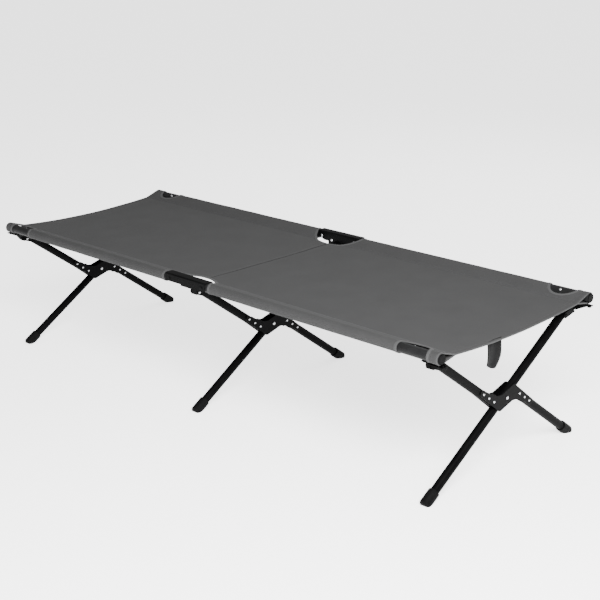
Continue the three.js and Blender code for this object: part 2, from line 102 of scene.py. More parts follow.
# cloth
SAG = 0.0022
END_SAG = 0.0095                     # further sag at the end hems
END_SAG_FROM = 0.55                  # where along X that further sag begins
CLOTH_T = 0.0010
SLEEVE_T = 0.0009
STRAP_T = 0.0017
SLEEVE_R = RAIL_R + 0.0015
CUT_OUT = 0.020                      # the openings are half ellipses centred this far outside the rail
MID_CUT = (0.0, 0.099, 0.090)        # centre along X, half length, half width
END_CUT = (0.862, 0.049, 0.057)
OVERLAP = 0.003                      # of the bed cloth under the sleeve's seam
LAYER_GAP = 0.0012                   # between the sleeve's two layers at the seam
HEM_WIDTH = 0.020
HEM_IN = 0.0008                      # the hems' edge lies this far inside the cloth's
STRAP_SEWN_IN = 0.004                # of the strap above its visible part

# thread
STITCH_PITCH = 0.0042
STITCH_LENGTH = 0.0029
STITCH_HALF_WIDTH = 0.00028
STITCH_LOW, STITCH_HIGH = -0.00015, 0.00032     # below and above the cloth

# ------------------------------------------------------------------ materials


def add_node(tree, kind, inputs=None, **settings):
    """A shader node with its settings and its fixed or linked inputs."""
    made = tree.nodes.new(kind)
    for key, value in settings.items():
        setattr(made, key, value)
    for key, value in (inputs or {}).items():
        if isinstance(value, bpy.types.NodeSocket):
            tree.links.new(value, made.inputs[key])
        else:
            made.inputs[key].default_value = value
    return made


def start_material(name, roughness, metallic=0.0, fixed=None):
    """A new material, its node tree and its shader."""
    made = bpy.data.materials.new(name)
    made.use_nodes = True
    shader = made.node_tree.nodes["Principled BSDF"]
    shader.inputs["Roughness"].default_value = roughness
    shader.inputs["Metallic"].default_value = metallic
    for key, value in (fixed or {}).items():
        shader.inputs[key].default_value = value
    return made, made.node_tree, shader


def math_node(tree, operation, a, b=0.0):
    return add_node(tree, "ShaderNodeMath", {0: a, 1: b}, operation=operation).outputs[0]


def noise_node(tree, vector, scale, detail=3.0, roughness=0.5):
    inputs = {"Vector": vector, "Scale": scale, "Detail": detail, "Roughness": roughness}
    return add_node(tree, "ShaderNodeTexNoise", inputs).outputs["Fac"]


def map_range(tree, value, source=(0.0, 1.0), target=(0.0, 1.0)):
    inputs = {"Value": value, "From Min": source[0], "From Max": source[1],
              "To Min": target[0], "To Max": target[1]}
    return add_node(tree, "ShaderNodeMapRange", inputs).outputs[0]


def scaled_place(tree, place, scale):
    return add_node(tree, "ShaderNodeMapping", {"Vector": place, "Scale": scale}).outputs[0]


def object_place(tree):
    return add_node(tree, "ShaderNodeTexCoord").outputs["Object"]


def ramp(tree, factor, low, high, dark, light):
    """Mixes two colours while factor goes from low to high."""
    share = map_range(tree, factor, (low, high))
    mix = add_node(tree, "ShaderNodeMix", {"Factor": share}, data_type="RGBA")
    mix.inputs["A"].default_value = (*dark, 1)
    mix.inputs["B"].default_value = (*light, 1)
    return mix.outputs["Result"]


def bump(tree, shader, height, distance, strength=1.0):
    made = add_node(tree, "ShaderNodeBump", {"Height": height, "Distance": distance, "Strength": strength})
    tree.links.new(made.outputs["Normal"], shader.inputs["Normal"])


SCUFFED = (0.009, 0.009, 0.0092)


def coated_metal(name, dark, light, roughness, spec):
    """Powder coat: a fine orange peel, faint clouds of tone and thin handling scuffs."""
    made, tree, shader = start_material(name, roughness, 0.0, {"Specular IOR Level": spec})
    place = object_place(tree)
    peel = noise_node(tree, place, 900.0, 2.0)
    cloud = noise_node(tree, place, 22.0, 4.0, 0.6)
    scuff = noise_node(tree, scaled_place(tree, place, (40.0, 900.0, 900.0)), 1.0, 5.0, 0.7)
    tone = ramp(tree, cloud, 0.3, 0.7, dark, light)
    worn = math_node(tree, "MULTIPLY", map_range(tree, scuff, (0.66, 0.8)), 0.35)
    mix = add_node(tree, "ShaderNodeMix", {"Factor": worn, "A": tone}, data_type="RGBA")
    mix.inputs["B"].default_value = (*SCUFFED, 1)
    tree.links.new(mix.outputs["Result"], shader.inputs["Base Color"])
    gloss = map_range(tree, cloud, target=(roughness - 0.06, roughness + 0.08))
    tree.links.new(gloss, shader.inputs["Roughness"])
    bump(tree, shader, peel, 0.00005)
    return made


def zinc(name):
    """Bright plated rivets with fine turning marks and a few dull spots."""
    made, tree, shader = start_material(name, 0.28, 1.0)
    place = object_place(tree)
    dull = noise_node(tree, place, 260.0, 4.0, 0.6)
    fine = noise_node(tree, place, 2200.0, 2.0)
    tone = ramp(tree, dull, 0.3, 0.7, (0.34, 0.34, 0.35), (0.56, 0.57, 0.58))
    tree.links.new(tone, shader.inputs["Base Color"])
    tree.links.new(map_range(tree, dull, target=(0.2, 0.4)), shader.inputs["Roughness"])
    bump(tree, shader, fine, 0.00003)
    return made


def moulded(name, dark, light, roughness, grain):
    """Moulded plastic or rubber with an even spark-eroded grain."""
    made, tree, shader = start_material(name, roughness, 0.0, {"Specular IOR Level": 0.03})
    place = object_place(tree)
    pits = add_node(tree, "ShaderNodeTexVoronoi", {"Vector": place, "Scale": grain}).outputs["Distance"]
    cloud = noise_node(tree, place, 60.0, 4.0, 0.6)
    tree.links.new(ramp(tree, cloud, 0.3, 0.7, dark, light), shader.inputs["Base Color"])
    gloss = map_range(tree, cloud, target=(roughness - 0.07, roughness + 0.07))
    tree.links.new(gloss, shader.inputs["Roughness"])
    bump(tree, shader, pits, 0.00012, 0.6)
    return made


def woven(name, dark, light, pitch, roughness, sheen, depth, twill=0.0):
    """Plain weave from two crossing sets of threads, with uneven yarns and soft clouds of tone.
    The attribute `weave` gives each point's place on the flat cloth, in metres."""
    fixed = {"Specular IOR Level": 0.08, "Sheen Weight": sheen, "Sheen Roughness": 0.5}
    made, tree, shader = start_material(name, roughness, 0.0, fixed)
    flat = add_node(tree, "ShaderNodeAttribute", attribute_name="weave").outputs["Vector"]
    parts = add_node(tree, "ShaderNodeSeparateXYZ", {0: flat}).outputs
    turns = math.pi / pitch
    warp_phase = math_node(tree, "MULTIPLY", parts[0], turns)
    weft_phase = math_node(tree, "MULTIPLY", parts[1], turns)
    if twill:
        warp_phase = math_node(tree, "ADD", warp_phase, math_node(tree, "MULTIPLY", weft_phase, twill))
    warp_wave = math_node(tree, "SINE", warp_phase)
    weft_wave = math_node(tree, "SINE", weft_phase)
    over = math_node(tree, "MULTIPLY", warp_wave, weft_wave)
    warp = math_node(tree, "ABSOLUTE", warp_wave)
    weft = math_node(tree, "ABSOLUTE", weft_wave)
    mix = {"Factor": map_range(tree, over, (-0.3, 0.3)), "A": warp, "B": weft}
    yarn = add_node(tree, "ShaderNodeMix", mix, data_type="FLOAT").outputs[0]
    slub = noise_node(tree, scaled_place(tree, flat, (30.0, 900.0, 1.0)), 1.0, 3.0, 0.6)
    cloud = noise_node(tree, flat, 9.0, 4.0, 0.55)
    # The tone rises with the yarns' height, so the dips between the threads are darker: painted shade. The slubs
    # and soft clouds are the yarns' own uneven tone.
    tone = math_node(tree, "ADD", math_node(tree, "MULTIPLY", yarn, 0.45),
                     math_node(tree, "ADD", math_node(tree, "MULTIPLY", slub, 0.25),
                               math_node(tree, "MULTIPLY", cloud, 0.35)))
    tree.links.new(ramp(tree, tone, 0.25, 0.85, dark, light), shader.inputs["Base Color"])
    bump(tree, shader, yarn, depth, 0.7)
    return made


MATERIAL = {
    "frame_black": coated_metal("coated_tube", (0.0010, 0.0010, 0.0011), (0.0022, 0.0022, 0.0023),
                                0.5, 0.02),
    "bracket_black": coated_metal("coated_bracket", (0.0011, 0.0011, 0.0012), (0.0023, 0.0023, 0.0024),
                                  0.52, 0.03),
    "zinc_rivet": zinc("zinc_plate"),
    "plastic_black": moulded("moulded_plastic", (0.0009, 0.0009, 0.0010), (0.0020, 0.0020, 0.0021),
                             0.5, 2500.0),
    "rubber_black": moulded("moulded_rubber", (0.0018, 0.0018, 0.0019), (0.0042, 0.0042, 0.0043),
                            0.62, 1800.0),
    "cloth_grey": woven("grey_cloth", (0.0220, 0.0220, 0.0222), (0.0355, 0.0355, 0.0358),
                        0.0011, 0.9, 0.02, 0.00012),
    "webbing_black": woven("black_webbing", (0.0010, 0.0010, 0.0011), (0.0034, 0.0034, 0.0035),
                           0.0017, 0.8, 0.02, 0.0003, 0.5),
}
# A lighter copy of the frame's black coat for the rails: painted light, as if the rails were lit from the near
# side.
LIT_RAIL_COAT = coated_metal("coated_rail_painted_light", (0.0070, 0.0070, 0.0072), (0.0110, 0.0110, 0.0113), 0.45, 0.05)
BINDING = woven("binding_tape", (0.033, 0.033, 0.0334), (0.050, 0.050, 0.0506),
                0.0009, 0.85, 0.03, 0.00015, 1.0)
# A darker copy of the cloth for a strip beside the middle seam: painted shadow.
PAINTED_SEAM_SHADOW = woven("seam_shadow", (0.008, 0.008, 0.0082), (0.014, 0.014, 0.0143),
              0.0011, 0.9, 0.0, 0.00012)
THREAD = moulded("sewing_thread", (0.042, 0.042, 0.043), (0.068, 0.068, 0.070), 0.6, 3000.0)

# ------------------------------------------------------------------ mesh helpers


def set_weave(mesh, weave):
    """Stores each point's place on the flat cloth."""
    layer = mesh.attributes.new("weave", "FLOAT_VECTOR", "POINT")
    layer.data.foreach_set("vector", [c for s, t in weave for c in (s, t, 0.0)])


def make_piece(name, verts, faces, material, smooth_angle, weave=None):
    """A mesh object from points and faces, with a place on the flat cloth for each point if it is woven."""
    mesh = bpy.data.meshes.new(name)
    mesh.from_pydata([tuple(v) for v in verts], [], faces)
    bm = bmesh.new()
    bm.from_mesh(mesh)
    bmesh.ops.recalc_face_normals(bm, faces=bm.faces)
    bm.to_mesh(mesh)
    bm.free()
    if weave is not None:
        set_weave(mesh, weave)
    return finish_piece(name, mesh, material, smooth_angle)


def finish_piece(name, mesh, material, smooth_angle):
    for polygon in mesh.polygons:
        polygon.use_smooth = True
    mesh.set_sharp_from_angle(angle=math.radians(smooth_angle))
    mesh.materials.clear()
    mesh.materials.append(material)
    piece = bpy.data.objects.new(name, mesh)
    bpy.context.scene.collection.objects.link(piece)
    return piece


def with_modifier(piece, kind, **settings):
    """Adds a modifier and applies it."""
    modifier = piece.modifiers.new(kind.lower(), kind)
    for key, value in settings.items():
        setattr(modifier, key, value)
    graph = bpy.context.evaluated_depsgraph_get()
    done = bpy.data.meshes.new_from_object(piece.evaluated_get(graph))
    piece.modifiers.clear()
    piece.data = done


def refined(node, bevel):
    """The CAD node's own shape with its flat faces merged and its edges rounded."""
    mesh = frame["nodes"][node].data.copy()
    bm = bmesh.new()
    bm.from_mesh(mesh)
    bmesh.ops.remove_doubles(bm, verts=bm.verts, dist=1e-5)
    bmesh.ops.dissolve_limit(bm, angle_limit=math.radians(1.0), verts=bm.verts, edges=bm.edges)
    bm.to_mesh(mesh)
    bm.free()
    piece = finish_piece(f"{node}_fine", mesh, MATERIAL[SLOT_OF[node]], 38.0)
    with_modifier(piece, "BEVEL", width=bevel, segments=2, limit_method="ANGLE",
                  angle_limit=math.radians(40), harden_normals=True, use_clamp_overlap=True)
    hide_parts(node)
    return piece


def smooth_tube(node, direction):
    """A fine round tube in the place of a many-sided CAD tube that lies along `direction`."""
    points = [v.co for v in frame["nodes"][node].data.vertices]
    along = direction.normalized()
    side = Vector((1, 0, 0)) if abs(along.x) < 0.5 else Vector((0, 1, 0))
    third = along.cross(side).normalized()
    spans = [[min(p.dot(d) for p in points), max(p.dot(d) for p in points)] for d in (along, side, third)]
    radius = (spans[1][1] - spans[1][0]) / 2
    start = along * spans[0][0] + side * sum(spans[1]) / 2 + third * sum(spans[2]) / 2
    length = spans[0][1] - spans[0][0]
    bore = radius - WALL
    profile = [(bore, LIP), (bore + LIP, 0), (radius - LIP, 0), (radius, LIP), (radius, length - LIP),
               (radius - LIP, length), (bore + LIP, length), (bore, length - LIP)]
    side = along.orthogonal().normalized()
    third = along.cross(side)
    verts, faces = [], []
    count, sides = len(profile), 48
    for i in range(sides):
        angle = 2 * math.pi * i / sides
        out = side * math.cos(angle) + third * math.sin(angle)
        verts += [start + out * r + along * h for r, h in profile]
        a, b = i * count, (i + 1) % sides * count
        for k in range(count):
            n = (k + 1) % count
            faces.append((a + k, a + n, b + n, b + k))
    piece = make_piece(f"{node}_fine", verts, faces, MATERIAL[SLOT_OF[node]], 35.0)
    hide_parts(node)
    return piece


def domes(name, places, body, size):
    """Domed rivet heads joined in one piece. Each place is (point on the surface, direction out of it)."""
    radius, height = size
    verts, faces = [], []
    rings, sides = 5, 20
    for origin, axis in places:
        axis = axis.normalized()
        side = axis.orthogonal().normalized()
        third = axis.cross(side)
        base = len(verts)
        for k in range(rings):
            angle = math.pi / 2 * k / rings
            r, h = radius * math.cos(angle), height * math.sin(angle)
            for i in range(sides):
                turn = 2 * math.pi * i / sides
                verts.append(origin + side * r * math.cos(turn) + third * r * math.sin(turn) + axis * h)
        verts.append(origin + axis * height)
        tip = len(verts) - 1
        for k in range(rings - 1):
            for i in range(sides):
                a, b = base + k * sides, base + (k + 1) * sides
                j = (i + 1) % sides
                faces.append((a + i, a + j, b + j, b + i))
        last = base + (rings - 1) * sides
        faces += [(last + i, last + (i + 1) % sides, tip) for i in range(sides)]
        faces.append(tuple(base + i for i in reversed(range(sides))))
    piece = make_piece(name, verts, faces, MATERIAL["zinc_rivet"], 50.0)
    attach(piece, body)


# ------------------------------------------------------------------ frame pieces


def rails():
    """Rail halves with what sits on them, and the middle channels with their pins and rivets."""
    for side_name, side in SIDES:
        middle = f"{side_name}_mid"
        inwards = Vector((0, -side, 0))
        for end_name, end in ENDS:
            body = f"{side_name}_{end_name}"
            rail = smooth_tube(f"{side_name}_rail_{end_name}", Vector((1, 0, 0)))
            # the rails' lighter coat is painted light
            rail.data.materials[0] = LIT_RAIL_COAT
            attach(rail, body)
            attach(refined(f"{side_name}_rail_cap_{end_name}", 0.0004), body)
            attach(refined(f"{side_name}_hanger_{end_name}", 0.0005), body)
            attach(refined(f"{side_name}_swivel_{end_name}", 0.0008), f"{body}_swivel")
            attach(refined(f"{side_name}_fold_pin_{end_name}", 0.0004), middle)
            tilt = Vector((0, -side * RAIL_RIVET_TILT[0], RAIL_RIVET_TILT[1]))
            axis = Vector((end * RAIL_RIVET_X, side * RAIL_Y, RAIL_Z))
            domes(f"{side_name}_{end_name}_rail_rivet", [(axis + tilt * (RAIL_R - RIVET_SUNK), tilt)],
                  body, DOME["rail"])
        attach(refined(f"{side_name}_channel", 0.0008), middle)
        low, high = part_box(f"{side_name}_fold_pin_right")
        head_y = low.y if side > 0 else high.y
        places = [(Vector((end * FOLD_X, head_y, RAIL_Z)), inwards) for _, end in ENDS]
        domes(f"{side_name}_fold_pin_domes", places, middle, DOME["fold_pin"])
        wall_y = side * (RAIL_Y - (high.y - low.y) / 2 + PIN_HEAD)
        place = Vector((-side * CHANNEL_RIVET[0], wall_y, CHANNEL_RIVET[1]))
        domes(f"{side_name}_channel_rivet", [(place, inwards)], middle, DOME["channel"])


def leg_sets():
    """The three crossed leg sets with their plates, yokes, feet and rivets."""
    split_off = Vector((0, 0.6, 0.8))
    for name, x in SETS:
        split_body, straight_body = f"{name}_split_leg_set", f"{name}_straight_leg_set"
        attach(smooth_tube(f"{name}_split_leg_upper", SPLIT_LINE), split_body)
        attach(smooth_tube(f"{name}_split_leg_lower", SPLIT_LINE), split_body)
        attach(smooth_tube(f"{name}_straight_leg", STRAIGHT_LINE), straight_body)
        for node, body, bevel in (("plate_right", split_body, 0.0007), ("plate_left", split_body, 0.0007),
                                  ("yoke_near", split_body, 0.0006), ("foot_far", split_body, 0.0022),
                                  ("yoke_far", straight_body, 0.0006), ("foot_near", straight_body, 0.0022),
                                  ("pivot_rivet", straight_body, 0.0005)):
            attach(refined(f"{name}_{node}", bevel), body)
        places = []
        for s in PLATE_RIVETS:
            for sign in (-1, 1):
                centre = PIVOT + (SPLIT_LINE * s + split_off * PLATE_RIVET_OFF) * sign
                for face in (-1, 1):
                    places.append((Vector((x + face * PLATE_OUT, centre.y, centre.z)), Vector((face, 0, 0))))
        domes(f"{name}_plate_rivets", places, split_body, DOME["plate"])
        for yoke, side, body in (("near", -1, split_body), ("far", 1, straight_body)):
            low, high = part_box(f"{name}_yoke_{yoke}")
            pins = [(Vector((x + way * (high.x - low.x) / 2, side * HINGE_Y, HINGE_Z)), Vector((way, 0, 0)))
                    for way in (-1, 1)]
            domes(f"{name}_{yoke}_pin_domes", pins, body, DOME["yoke_pin"])


rails()
leg_sets()

# ------------------------------------------------------------------ cloth


def cloth_z(x, y):
    """Top of the bed cloth: it sags, more so at the ends, with soft ripples everywhere and short ones
    that spread from the middle openings."""
    share = min(abs(y) / SEAM_Y, 1.0)
    droop = max(0.0, (abs(x) - END_SAG_FROM) / (CLOTH_END - END_SAG_FROM)) ** 2
    rest = SEAM_Z - (SAG + END_SAG * droop) * (1 - share * share)
    ripple = noise.noise(Vector((x * 5, y * 7, 1.7))) * 0.0010
    ripple += noise.noise(Vector((x * 14, y * 11, 4.1))) * 0.0004
    pull = math.exp(-abs(x) / 0.05) * math.exp(-(1 - share) * SEAM_Y / 0.07)
    radiate = noise.noise(Vector((x * 38, y * 9, 7.7))) * 0.0022 * pull
    return rest + (ripple + radiate) * (1 - share ** 8)


def cut_half(cut, y):
    """Half length of an opening at a distance from the middle line."""
    share = (RAIL_Y + CUT_OUT - abs(y)) / cut[2]
    return cut[1] * math.sqrt(1 - share * share) if abs(share) < 1 else 0.0


def half_width(x):
    """Distance of the bed cloth's edge from the middle line: under the seam, or at a middle opening."""
    share = abs(x) / MID_CUT[1]
    edge = RAIL_Y + CUT_OUT - MID_CUT[2] * math.sqrt(1 - share * share) if share < 1 else SEAM_Y + OVERLAP
    return min(edge, SEAM_Y + OVERLAP)


def along_samples(low, high):
    """X positions from low to high, closer together beside a middle opening."""
    reach = cut_half(MID_CUT, SEAM_Y + OVERLAP)
    count = max(2, round((high - low) / 0.012))
    found = {low, high} | {low + (high - low) * i / count for i in range(1, count)}
    found |= {reach * math.sin(math.pi * k / 56) for k in range(-28, 29)}
    kept = [low]
    for x in sorted(found):
        if x - kept[-1] > 2e-4 and x < high - 2e-4:
            kept.append(x)
    return kept + [high]


def facing_up(mesh):
    """Turns the faces so that the highest one looks up."""
    top = max(mesh.polygons, key=lambda p: p.center.z)
    if top.normal.z < 0:
        mesh.flip_normals()


def woven_sheet(name, verts, faces, weave, material, thickness):
    """A thin closed sheet from the faces of its outer side."""
    mesh = bpy.data.meshes.new(name)
    mesh.from_pydata([tuple(v) for v in verts], [], faces)
    facing_up(mesh)
    set_weave(mesh, weave)
    piece = finish_piece(name, mesh, material, 60.0)
    with_modifier(piece, "SOLIDIFY", thickness=thickness, offset=-1.0, use_even_offset=False)
    piece.data.set_sharp_from_angle(angle=math.radians(50))
    return piece


def grid_faces(rows, columns):
    """Quads of a grid whose points run along each row in turn."""
    corners = [i * columns + j for i in range(rows - 1) for j in range(columns - 1)]
    return [(k, k + 1, k + columns + 1, k + columns) for k in corners]


def flat_area(weave, faces):
    """Area of the cloth before it was sewn, from its places on the flat cloth."""
    total = 0.0
    for face in faces:
        corners = [weave[i] for i in face]
        around = zip(corners, corners[1:] + corners[:1])
        total += abs(sum(a[0] * b[1] - b[0] * a[1] for a, b in around)) / 2
    return total


def closes_with_legs(piece):
    """Gives the cloth piece its own copy of its mesh."""
    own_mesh(piece)


def bed_panel(name, low, high, body):
    """One part of the bed between two X positions, with its flat size and flat area."""
    xs = along_samples(low, high)
    columns = 49
    verts, weave = [], []
    for x in xs:
        width = half_width(x)
        for j in range(columns):
            y = width * (2 * j / (columns - 1) - 1)
            verts.append(Vector((x, y, cloth_z(x, y))))
            weave.append((x, y))
    faces = grid_faces(len(xs), columns)
    piece = woven_sheet(f"{name}_fabric", verts, faces, weave, MATERIAL["cloth_grey"], CLOTH_T)
    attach(piece, body)
    closes_with_legs(piece)
    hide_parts(name)
    return piece, (high - low, 2 * (SEAM_Y + OVERLAP)), flat_area(weave, faces)


def sleeve_section(side, radius):
    """Path round a rail from the seam over the top, down the outside and back under to the seam, as
    (point, normal) pairs in the Y-Z plane. Its points are close together where the openings end."""
    tip = Vector((SEAM_Y - RAIL_Y, SEAM_Z - RAIL_Z))
    lean = math.atan2(tip.y, tip.x)
    open_angle = math.acos(radius / tip.length)
    start, stop = lean - open_angle, lean + open_angle - 2 * math.pi
    angles = [start + (stop - start) * k / 28 for k in range(29)]
    ray = [Vector((math.cos(a), math.sin(a))) for a in angles]

    def layer(low, tangent, normal):
        """The flat cloth from the seam to where it meets the rail."""
        edge = CUT_OUT - END_CUT[2]
        last = math.acos((CUT_OUT - tangent.x) / END_CUT[2])
        places = [tip.x + (edge - tip.x) * i / 7 for i in range(7)]
        places += [CUT_OUT - END_CUT[2] * math.cos(last * i / 14) for i in range(14)]
        return [(low.lerp(tangent, (p - tip.x) / (tangent.x - tip.x)), normal) for p in places]

    path = layer(tip, ray[0] * radius, ray[0])
    path += [(r * radius, r) for r in ray]
    path += reversed(layer(tip - Vector((0, LAYER_GAP)), ray[-1] * radius, ray[-1]))
    return [(Vector((side * (RAIL_Y + p.x), RAIL_Z + p.y)), Vector((side * n.x, n.y))) for p, n in path]


def sleeve_roots(side_name, end_name, end, section):
    """The two small corners of cloth between the middle opening and the fold line, above and below."""
    columns = 9
    for layer, path in (("upper", section), ("lower", section[::-1])):
        path = [p for p in path[:12] if cut_half(MID_CUT, p[0].x) < FOLD_X - 1e-4]     # beside the seam
        verts, weave = [], []
        for point, _ in path:
            start = cut_half(MID_CUT, point.x)
            for k in range(columns):
                x = start + (FOLD_X - start) * k / (columns - 1)
                verts.append(Vector((end * x, point.x, point.y)))
                weave.append((end * x, abs(point.x)))
        piece = woven_sheet(f"{side_name}_{end_name}_root_{layer}", verts, grid_faces(len(path), columns),
                            weave, MATERIAL["cloth_grey"], SLEEVE_T)
        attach(piece, f"{side_name}_mid")


WRINKLE = 0.0005


def sleeve(side_name, side, end_name, end):
    """Cloth sleeve on a rail half, cut out at both openings and slightly puckered beside them, with
    its flat size and flat area."""
    section = sleeve_section(side, SLEEVE_R)
    counts = (78, 14)                # steps along X on either side of the corner opening
    verts, weave, rows = [], [], []
    run, before = 0.0, section[0][0]
    for j, (point, normal) in enumerate(section):
        run += (point - before).length
        before = point
        middle, corner = cut_half(MID_CUT, point.x), cut_half(END_CUT, point.x)
        spans = ((max(middle, FOLD_X), END_CUT[0] - corner), (END_CUT[0] + corner, CLOTH_END))
        row = []
        for (low, high), count in zip(spans, counts):
            for k in range(count + 1):
                if row and k == 0 and corner == 0:
                    row.append(row[-1])
                    continue
                share = k / count - 0.8 / (2 * math.pi) * math.sin(2 * math.pi * k / count)
                x = low + (high - low) * share
                beside = math.exp(-(x - middle) / 0.02) + math.exp(-(CLOTH_END - x) / 0.015)
                beside += corner / END_CUT[1] * math.exp(-max(abs(x - END_CUT[0]) - corner, 0) / 0.015)
                pucker = noise.noise(Vector((end * x * 60, point.x * 30, point.y * 30))) * (0.25 + beside)
                slack = noise.noise(Vector((end * x * 11, point.x * 20, point.y * 20 + 3)))
                from_seam = min(j, len(section) - 1 - j)
                lift = WRINKLE * (pucker + slack) * min(1.0, from_seam / 5)
                if 20 < j < len(section) - 20:     # round the rail, where the cloth can't go deeper
                    lift = max(lift, -0.0003)
                verts.append(Vector((end * x, point.x + normal.x * lift, point.y + normal.y * lift)))
                weave.append((end * x, run))
                row.append(len(verts) - 1)
        rows.append(row)
    kept = [k for k in range(len(rows[0]) - 1) if k != counts[0]]
    faces = [(a[k], a[k + 1], b[k + 1], b[k]) for a, b in zip(rows, rows[1:]) for k in kept]
    sleeve_roots(side_name, end_name, end, section)
    name = f"{side_name}_sleeve_{end_name}"
    piece = woven_sheet(f"{name}_fabric", verts, faces, weave, MATERIAL["cloth_grey"], SLEEVE_T)
    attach(piece, f"{side_name}_{end_name}")
    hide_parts(name)
    return piece, (CLOTH_END - cut_half(MID_CUT, SEAM_Y), run), flat_area(weave, faces)


def place_cloth(piece, body, squash):
    """Puts a tape or a row of stitches on its body."""
    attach(piece, body)
    if squash:
        closes_with_legs(piece)


def sweep(name, path, outward, upward, profile, material, body, squash=False, closed=False):
    """A tape along a path, as one closed solid. The profile's points are (outward, upward) offsets."""
    count = len(profile)
    verts, weave, faces = [], [], []
    run, around = 0.0, [0.0]
    for a, b in zip(profile, profile[1:]):
        around.append(around[-1] + math.dist(a, b))
    for i, centre in enumerate(path):
        if i:
            run += (centre - path[i - 1]).length
        for k, (o, u) in enumerate(profile):
            verts.append(centre + outward[i] * o + upward[i] * u)
            weave.append((run, around[k]))
    rings = len(path)
    for i in range(rings if closed else rings - 1):
        a, b = i * count, (i + 1) % rings * count
        for k in range(count):
            n = (k + 1) % count
            faces.append((a + k, a + n, b + n, b + k))
    if not closed:                   # the two ends
        faces.append(tuple(reversed(range(count))))
        faces.append(tuple((rings - 1) * count + k for k in range(count)))
    place_cloth(make_piece(name, verts, faces, material, 50.0, weave), body, squash)


def tape_profile(inward, outward, over, under):
    """Rounded flat section of a folded tape, as (outward, upward) offsets."""
    return [(-inward, over * 0.55), (-inward + 0.0008, over), (0.0, over * 1.05),
            (outward * 0.7, over * 0.8), (outward, 0.0), (outward * 0.7, -under * 0.8),
            (0.0, -under), (-inward + 0.0008, -under), (-inward, -under * 0.55)]


def edge_frames(path, normals, centre_x, side, closed=False):
    """For each point of an opening's edge: the direction into the opening, and the one off the cloth."""
    inward, upward = [], []
    count = len(path)
    for i in range(count):
        a = path[(i - 1) % count] if closed else path[max(i - 1, 0)]
        b = path[(i + 1) % count] if closed else path[min(i + 1, count - 1)]
        out = (b - a).cross(normals[i]).normalized()
        if out.dot(Vector((centre_x - path[i].x, side * 0.02, 0))) < 0:
            out = -out
        inward.append(out)
        upward.append(normals[i].normalized())
    return inward, upward


def stitches(name, path, normals, body, squash=False, lift=0.0):
    """A row of thread stitches along a path, each a low ridge."""
    verts, faces = [], []
    half, wide = STITCH_LENGTH / 2, STITCH_HALF_WIDTH
    carry = STITCH_PITCH / 2
    for a, b, normal in zip(path, path[1:], normals):
        span = (b - a).length
        if span < 1e-9:
            continue
        along = (b - a) / span
        normal = normal.normalized()
        across = along.cross(normal).normalized()
        while carry < span:
            centre = a + along * carry + normal * lift
            base = len(verts)
            for h in (-half, half):
                verts += [centre + along * h - across * wide + normal * STITCH_LOW,
                          centre + along * h + across * wide + normal * STITCH_LOW]
            for h in (-half * 0.7, half * 0.7):
                verts += [centre + along * h - across * wide * 0.5 + normal * STITCH_HIGH,
                          centre + along * h + across * wide * 0.5 + normal * STITCH_HIGH]
            faces += [tuple(base + i for i in f) for f in
                      ((0, 1, 3, 2), (4, 6, 7, 5), (0, 2, 6, 4), (1, 5, 7, 3), (0, 4, 5, 1), (2, 3, 7, 6))]
            carry += STITCH_PITCH
        carry -= span
    place_cloth(make_piece(name, verts, faces, THREAD, 70.0), body, squash)


BIND = tape_profile(0.0075, 0.0012, 0.0013, 0.0013)
BIND_STITCHES = 0.0058               # from the cut edge


def bind(name, path, normals, centre_x, side, body, squash=False, closed=False):
    """Tape folded over a cut edge, with a row of stitches near its inner side."""
    inward, upward = edge_frames(path, normals, centre_x, side, closed)
    sweep(name, path, inward, upward, BIND, BINDING, body, squash, closed)
    line = [p - o * BIND_STITCHES for p, o in zip(path, inward)]
    if closed:
        line.append(line[0])
        upward.append(upward[0])
    stitches(f"{name}_stitches", line, upward, body, squash, lift=0.0012)


def bindings():
    """Tape round the openings. Round a rail it changes bodies where the rail half folds."""
    for side_name, side in SIDES:
        reach = cut_half(MID_CUT, SEAM_Y + 0.001)
        path = []
        for k in range(61):
            x = reach * math.sin(math.pi / 2 * (k / 30 - 1))
            y = side * half_width(x)
            path.append(Vector((x, y, cloth_z(x, y) - CLOTH_T / 2)))
        bind(f"{side_name}_middle_binding", path, [UP] * len(path), 0.0, side, "near_mid", True)
        section = sleeve_section(side, SLEEVE_R - 0.0004)
        for end_name, end in ENDS:
            body = f"{side_name}_{end_name}"
            normals = [Vector((0, n.x, n.y)) for _, n in section]
            path = [Vector((end * cut_half(MID_CUT, p.x), p.x, p.y)) for p, _ in section]
            split = next(j for j, p in enumerate(path) if abs(p.x) >= FOLD_X)
            spans = (("upper", 0, split + 1, f"{side_name}_mid"), ("round", split, len(path) - split, body),
                     ("lower", len(path) - split - 1, len(path), f"{side_name}_mid"))
            for part, a, b, rider in spans:
                bind(f"{body}_middle_binding_{part}", path[a:b], normals[a:b], 0.0, side, rider)
            cut_from = RAIL_Y + CUT_OUT - END_CUT[2] - 1e-6
            crossed = [j for j, (p, _) in enumerate(section) if abs(p.x) > cut_from]
            loop, off = [], []
            for way, order in ((-1, crossed), (1, crossed[-2:0:-1])):
                for j in order:
                    point = section[j][0]
                    x = END_CUT[0] + way * cut_half(END_CUT, point.x)
                    loop.append(Vector((end * x, point.x, point.y)))
                    off.append(normals[j])
            bind(f"{body}_corner_binding", loop, off, end * END_CUT[0], side, body, closed=True)


